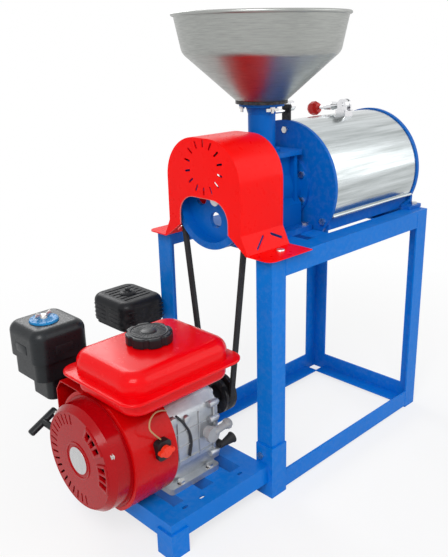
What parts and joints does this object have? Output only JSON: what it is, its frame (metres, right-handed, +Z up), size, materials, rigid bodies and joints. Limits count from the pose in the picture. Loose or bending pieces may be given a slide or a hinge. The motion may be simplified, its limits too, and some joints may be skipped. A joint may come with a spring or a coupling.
{
  "type": "grain mill",
  "caption": "Grain mill on an angle iron stand, with hopper, sieve drum under hinged covers, guarded belt drive and a pull start petrol engine on a low base.",
  "frame": {"origin": "on the floor, under the middle of the bounding box", "axes": "+X from the engine to the tail of the mill along the shafts, +Y to the side of the air cleaner and the muffler, +Z up"},
  "size_m": [0.9761, 0.4474, 0.9505],
  "materials": {
    "stand_blue": "gloss paint",
    "mill_blue": "gloss paint on castings",
    "cover_steel": "polished stainless sheet",
    "hopper_steel": "spun stainless sheet",
    "guard_red": "gloss paint on sheet",
    "engine_red": "gloss paint on pressed sheet",
    "tank_red": "gloss paint on pressed sheet",
    "grip_red": "moulded",
    "switch_red": "moulded",
    "knob_blue": "moulded",
    "black_paint": "semi gloss paint",
    "muffler_black": "heat proof paint",
    "chrome_steel": "bright plated",
    "bright_steel": "machined",
    "zinc_steel": "zinc plated",
    "cast_aluminium": "as cast",
    "cast_iron": "as cast",
    "black_plastic": "moulded",
    "brush_black": "bristle slats",
    "plug_grey": "moulded",
    "belt_rubber": "moulded vee belt",
    "black_rubber": "moulded",
    "wire_tan": "insulation"
  },
  "bodies": {
    "root": {"air_cleaner_base": "black_plastic", "air_cleaner_cover": "black_plastic", "belt_guard": "guard_red", "bran_spout": "mill_blue", "carburettor": "cast_aluminium", "cylinder_barrel": "cast_aluminium", "cylinder_head": "cast_aluminium", "drive_belt": "belt_rubber", "drum_cover_far": "cover_steel", "drum_tie_bars": "mill_blue", "engine_base": "stand_blue", "engine_bolts": "zinc_steel", "engine_brackets": "black_paint", "engine_crankcase": "cast_aluminium", "engine_wires": "wire_tan", "fan_housing": "engine_red", "feed_neck": "mill_blue", "front_plate": "mill_blue", "fuel_tank": "tank_red", "gate_guide": "black_paint", "hopper": "hopper_steel", "hopper_ring": "black_paint", "mill_bearings": "bright_steel", "mill_body": "mill_blue", "mill_bolts": "zinc_steel", "muffler": "muffler_black", "muffler_guard": "muffler_black", "oil_plugs": "plug_grey", "outer_cone": "cast_iron", "rear_bearing_housing": "mill_blue", "rear_plate": "mill_blue", "recoil_cover": "engine_red", "side_cover": "cast_aluminium", "sieve_drum": "bright_steel", "spark_plug": "black_rubber", "stand_legs": "stand_blue", "stand_rails": "stand_blue", "switch_body": "black_plastic", "valve_cover": "black_paint"},
    "mill_rotor": {"mill_shaft": "bright_steel", "mill_pulley": "mill_blue", "inner_cone": "cast_iron", "brush_rotor": "brush_black"},
    "engine_rotor": {"crankshaft": "bright_steel", "flywheel_fan": "cast_aluminium", "engine_pulley": "black_paint"},
    "starter_grip": {"starter_grip": "black_plastic"},
    "starter_reel": {"starter_reel": "black_plastic"},
    "fuel_cap": {"fuel_cap": "black_plastic"},
    "switch_knob": {"switch_knob": "switch_red"},
    "choke_lever": {"choke_lever": "black_plastic"},
    "fuel_valve_lever": {"fuel_valve_lever": "black_plastic"},
    "throttle_lever": {"throttle_lever": "zinc_steel"},
    "feed_gate": {"feed_gate": "chrome_steel"},
    "drum_cover": {"drum_cover_near": "cover_steel", "latch_base": "chrome_steel"},
    "latch_lever": {"latch_lever": "chrome_steel", "latch_grip": "grip_red"},
    "adjust_wheel": {"adjust_wheel": "black_paint"},
    "cleaner_knob": {"cleaner_knob": "knob_blue"}
  },
  "joints": [
    {"name": "mill_spin", "type": "hinge", "parent": "root", "child": "mill_rotor", "pos_m": [0, -0.04625, 0.602], "axis": [1, 0, 0], "continuous": true},
    {"name": "crank_spin", "type": "hinge", "parent": "root", "child": "engine_rotor", "pos_m": [-0.2395, -0.04625, 0.18], "axis": [1, 0, 0], "continuous": true},
    {"name": "starter_pull", "type": "slide", "parent": "root", "child": "starter_grip", "axis": [0, 1, 0], "range_m": [0, 0.6], "stiffness_N_per_m": 8, "springref_m": -0.3},
    {"name": "reel_turn", "type": "hinge", "parent": "root", "child": "starter_reel", "pos_m": [-0.4695, -0.04625, 0.18], "axis": [1, 0, 0], "range_deg": [-970, 0]},
    {"name": "cap_turn", "type": "hinge", "parent": "root", "child": "fuel_cap", "pos_m": [-0.3225, -0.06925, 0.38], "axis": [0, 0, 1], "range_deg": [0, 90]},
    {"name": "switch_turn", "type": "hinge", "parent": "root", "child": "switch_knob", "pos_m": [-0.3805, -0.17525, 0.208], "axis": [0, -1, 0], "range_deg": [0, 60]},
    {"name": "choke_turn", "type": "hinge", "parent": "root", "child": "choke_lever", "pos_m": [-0.3585, 0.13275, 0.256], "axis": [0, 1, 0], "range_deg": [0, 60]},
    {"name": "fuel_valve_turn", "type": "hinge", "parent": "root", "child": "fuel_valve_lever", "pos_m": [-0.3555, 0.13275, 0.236], "axis": [0, 1, 0], "range_deg": [0, 80]},
    {"name": "throttle_turn", "type": "hinge", "parent": "root", "child": "throttle_lever", "pos_m": [-0.2895, 0.03275, 0.287], "axis": [0, 0, 1], "range_deg": [-14, 14]},
    {"name": "gate_pull", "type": "slide", "parent": "root", "child": "feed_gate", "axis": [1, 0, 0], "range_m": [0, 0.046]},
    {"name": "cover_swing", "type": "hinge", "parent": "root", "child": "drum_cover", "pos_m": [0.248, -0.16953, 0.546], "axis": [1, 0, 0], "range_deg": [0, 85]},
    {"name": "latch_lift", "type": "hinge", "parent": "drum_cover", "child": "latch_lever", "pos_m": [0.2705, -0.06325, 0.758], "axis": [1, 0, 0], "range_deg": [0, 110]},
    {"name": "gap_adjust", "type": "hinge", "parent": "root", "child": "adjust_wheel", "pos_m": [0.4605, -0.04625, 0.602], "axis": [1, 0, 0], "range_deg": [-360, 360]},
    {"name": "cleaner_knob_turn", "type": "hinge", "parent": "root", "child": "cleaner_knob", "pos_m": [-0.418, 0.13925, 0.385], "axis": [0, 0, 1], "range_deg": [0, 720]}
  ],
  "couplings": [
    {"joint": "crank_spin", "follows": "mill_spin", "ratio": 2.2588},
    {"joint": "reel_turn", "follows": "starter_pull", "rad_per_m": -27.778}
  ]
}
